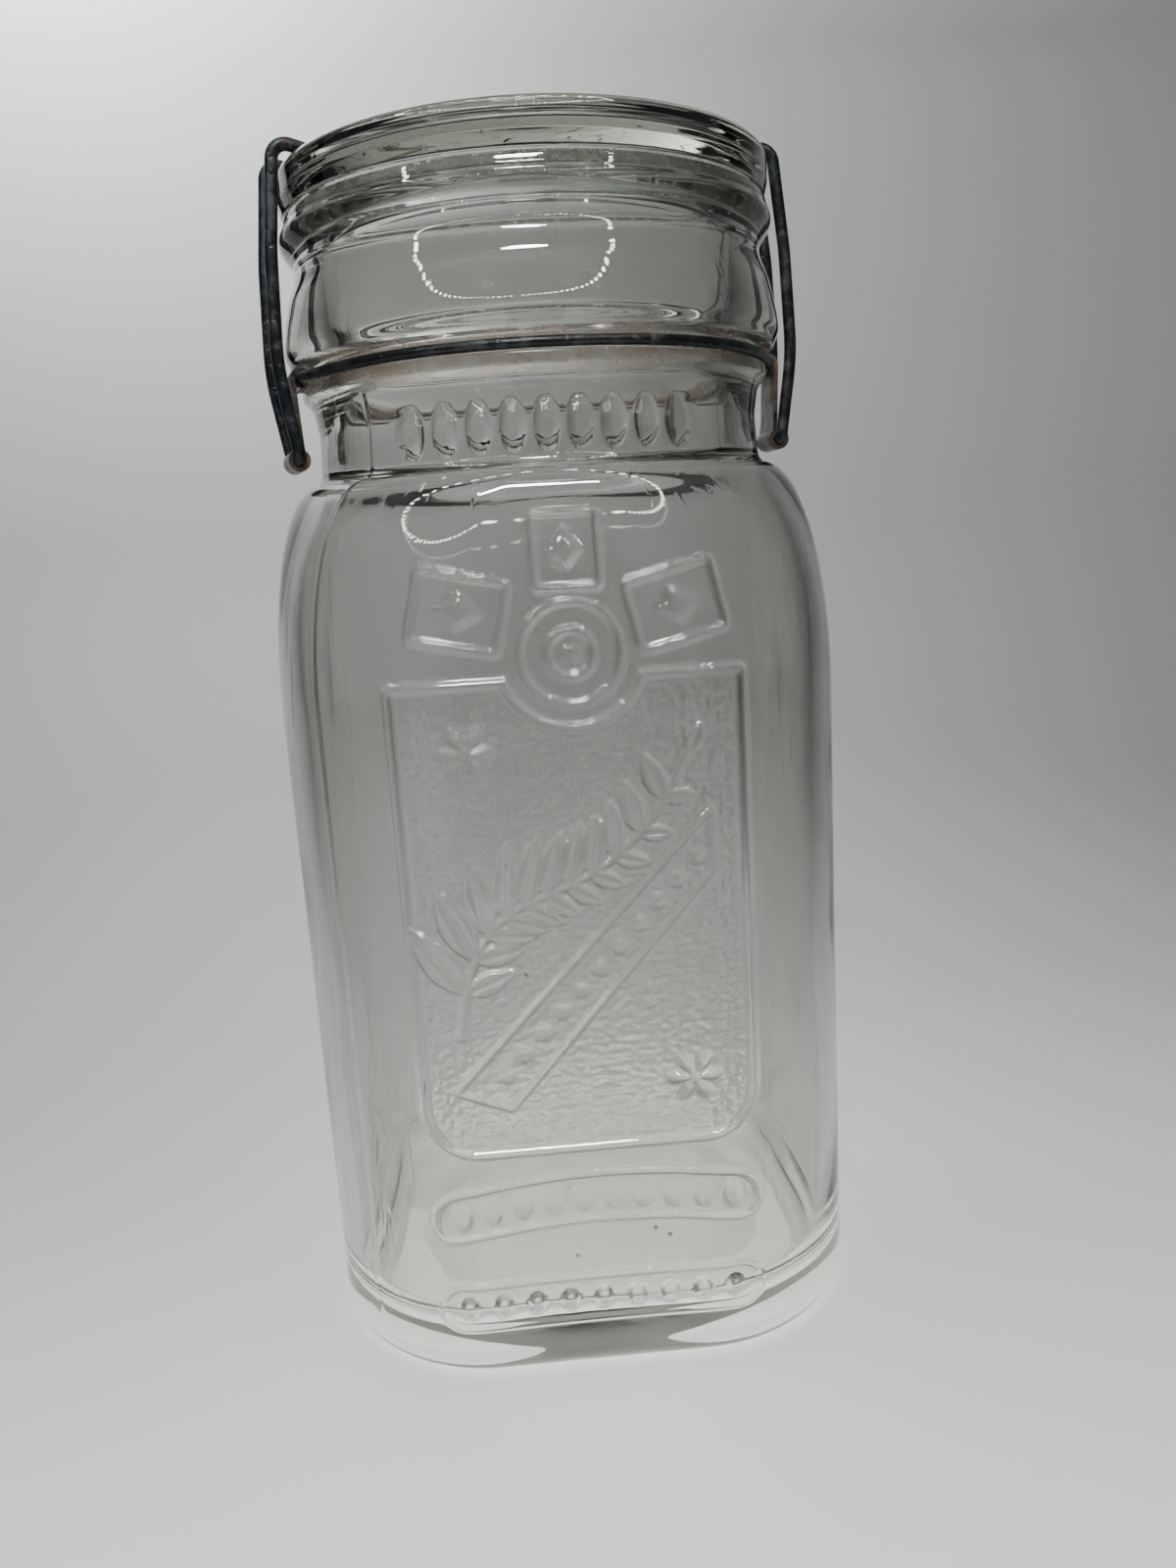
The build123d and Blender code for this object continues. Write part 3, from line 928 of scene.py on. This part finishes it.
def glass_surface(shade, stain):
    """Old clear glass, its grey partly painted shade: hairline scratches, specks and, where stained, a
    brown film.
    """
    upright = shade.stretched((1.0, 1.0, 0.12))
    scratches = shade.noise(260.0, detail=2.0, roughness=0.5, place=upright, distortion=1.5)
    scratches = shade.ramp(scratches, 0.66, 0.72)
    specks = shade.specks(scale=170.0, size=0.045)
    worn = shade.math("MAXIMUM", shade.math("MULTIPLY", specks, 0.5), stain)
    # Base colour: the glass grey, partly its own tint and partly painted shade for the jar's shadow behind
    # it (the glass lets shadow rays straight through), with brown stain and specks blended in
    shade.link(shade.blend(worn, GLASS_TINT_AND_SHADE, STAIN_COLOUR), shade.shader.inputs["Base Color"])
    haze = shade.ramp(shade.noise(45.0, 4.0), 0.5, 0.8, 0.0, 0.02)
    scuffed_base = shade.ramp(shade.axis("Z"), 0.9 * MM, 0.3 * MM, 0.0, 0.4)
    haze = shade.math("ADD", haze, scuffed_base)
    rough = shade.math("ADD", haze, shade.math("MULTIPLY", stain, 0.42))
    shade.link(rough, shade.shader.inputs["Roughness"])
    shade.bump((shade.noise(38.0, 1.0), 0.22 * MM), (scratches, 0.012 * MM))
    shade.set(IOR=1.5, Transmission_Weight=1.0)
    shade.tinted_depth(GLASS_DEPTH_COLOUR, GLASS_DEPTH_DENSITY)
    shade.see_through_shadow()
    return shade.material


def jar_glass():
    """Clear jar glass, with rust and food stain caught round the wire groove and on the neck."""
    shade = Shade("jar_clear_glass")
    height = shade.axis("Z")
    groove = [mm * MM for mm in (STAIN_LOW, STAIN_LOW + 2.2, STAIN_HIGH - 1.2, STAIN_HIGH)]
    neck = [mm * MM for mm in (143.0, 152.0, NECK_RIB_FOOT, NECK_RIB_FOOT + 4.0)]
    patches = shade.ramp(shade.noise(95.0, 6.0, 0.7), 0.36, 0.66)
    patches = shade.math("ADD", 0.25, shade.math("MULTIPLY", patches, 0.65))
    blotches = shade.ramp(shade.noise(48.0, 5.0, 0.65), 0.55, 0.72, 0.0, 0.4)
    in_groove = shade.math("MULTIPLY", shade.band(height, *groove), patches)
    on_neck = shade.math("MULTIPLY", shade.band(height, *neck), blotches)
    return glass_surface(shade, shade.math("MAXIMUM", in_groove, on_neck))


def lid_glass():
    """The lid is the same glass, with a little grime under its edge."""
    shade = Shade("lid_clear_glass")
    edge = [mm * MM for mm in (FINISH_TOP - 0.6, FINISH_TOP, FINISH_TOP + 0.6, FINISH_TOP + 1.0)]
    grime = shade.ramp(shade.noise(60.0, 5.0, 0.65), 0.5, 0.75, 0.05, 0.4)
    return glass_surface(shade, shade.math("MULTIPLY", shade.band(shade.axis("Z"), *edge), grime))


def ring_rubber():
    """A milky, half-clear sealing ring, greyed and a little blotched with age."""
    shade = Shade("milky_ring")
    milky, greyed = (0.8, 0.82, 0.78), (0.66, 0.66, 0.58)
    blotches = shade.ramp(shade.noise(120.0, 5.0, 0.6), 0.4, 0.7)
    shade.link(shade.blend(blotches, milky, greyed), shade.shader.inputs["Base Color"])
    shade.link(shade.ramp(shade.noise(500.0, 3.0), 0.3, 0.7, 0.14, 0.3), shade.shader.inputs["Roughness"])
    shade.bump((shade.noise(900.0, 3.0), 0.04 * MM))
    shade.set(IOR=1.45, Transmission_Weight=1.0)
    shade.see_through_shadow()
    return shade.material


def old_steel(name, dark, rust, rust_from, rust_to):
    """Blackened steel gone brown in patches, pitted, with rubbed high spots."""
    shade = Shade(name)
    patches = shade.ramp(shade.noise(140.0, 7.0, 0.68), rust_from, rust_to)
    pits = shade.specks(scale=900.0, size=0.32)
    film = shade.ramp(shade.noise(420.0, 4.0), 0.42, 0.7)
    steel = shade.blend(film, dark, tuple(2.4 * c for c in dark))
    powder = shade.blend(shade.noise(700.0, 3.0), rust, tuple(0.45 * c for c in rust))
    shade.link(shade.blend(patches, steel, powder), shade.shader.inputs["Base Color"])
    shade.link(shade.ramp(patches, 0.0, 1.0, 0.85, 0.1), shade.shader.inputs["Metallic"])
    rough = shade.math("ADD", shade.ramp(film, 0.0, 1.0, 0.3, 0.46), shade.math("MULTIPLY", patches, 0.38))
    shade.link(rough, shade.shader.inputs["Roughness"])
    crust = shade.math("MULTIPLY", patches, shade.noise(1300.0, 5.0, 0.7))
    shade.bump((crust, 0.25 * MM), (pits, -0.05 * MM), (film, 0.04 * MM))
    return shade.material


def dress(material, *nodes):
    """Gives CAD nodes a material in place of the plain one that they come with."""
    for node in nodes:
        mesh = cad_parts[node].data
        mesh.materials.clear()
        mesh.materials.append(material)


make_jar().data.materials.append(jar_glass())
make_lid().data.materials.append(lid_glass())
dress(ring_rubber(), "seal_ring")
dress(old_steel("blackened_clamp_wire", dark=(0.022, 0.025, 0.029), rust=(0.11, 0.064, 0.04),
                rust_from=0.6, rust_to=0.73), "left_clamp", "right_clamp")
dress(old_steel("rusty_neck_wire", dark=(0.02, 0.021, 0.023), rust=(0.11, 0.064, 0.04),
                rust_from=0.56, rust_to=0.7), "neck_wire")
dress(old_steel("rusty_strap", dark=(0.032, 0.03, 0.028), rust=(0.13, 0.075, 0.046),
                rust_from=0.47, rust_to=0.64), "left_strap", "right_strap")
